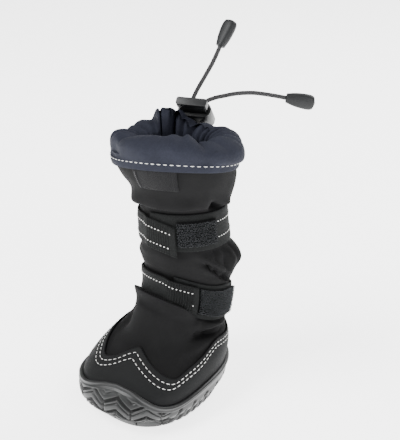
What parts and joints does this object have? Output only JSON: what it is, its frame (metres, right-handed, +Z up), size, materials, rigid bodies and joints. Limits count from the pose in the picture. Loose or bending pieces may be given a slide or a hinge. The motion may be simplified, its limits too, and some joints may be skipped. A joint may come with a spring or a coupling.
{
  "type": "dog boot",
  "caption": "Dog boot: soft shaft on a treaded rubber sole with a raised toe bumper, two hook-and-loop straps, and a padded collar drawn in by a cord with a sprung lock.",
  "frame": {"origin": "on the floor, at the middle of the sole's flat tread", "axes": "+Z up the shaft from the floor, the toe towards -Y, the heel towards +Y, +X to the right of someone facing the toe"},
  "size_m": [0.0885, 0.1507, 0.2172],
  "materials": {
    "sole_rubber": "semi-gloss moulded rubber",
    "shaft_fabric": "matt black bonded fabric",
    "insole_fabric": "matt felt",
    "rand_fabric": "smooth coated fabric",
    "webbing": "woven strap",
    "loop_tape": "fuzzy loop tape",
    "label_fabric": "smooth bare woven patch",
    "collar_fabric": "soft dark navy cloth",
    "lock_plastic": "moulded plastic",
    "cord": "braided elastic cord",
    "cord_end_plastic": "soft moulded plastic"
  },
  "bodies": {
    "boot": {"outsole": "sole_rubber", "upper": "shaft_fabric", "insole": "insole_fabric", "rand": "rand_fabric", "upper_strap_tab": "webbing", "upper_strap_loop_tape": "loop_tape", "upper_strap_webbing": "webbing", "lower_strap_tab": "webbing", "lower_strap_loop_tape": "loop_tape", "lower_strap_webbing": "webbing", "label": "label_fabric", "collar": "collar_fabric", "cord_lock_body": "lock_plastic", "drawcord_left": "cord", "cord_end_left": "cord_end_plastic", "drawcord_right": "cord", "cord_end_right": "cord_end_plastic"},
    "lock_button": {"cord_lock_button": "lock_plastic"}
  },
  "joints": [
    {"name": "button_press", "type": "slide", "parent": "boot", "child": "lock_button", "axis": [-0.2376, 0.6528, -0.7193], "range_m": [0, 0.004], "stiffness_N_per_m": 300, "springref_m": -0.003}
  ]
}
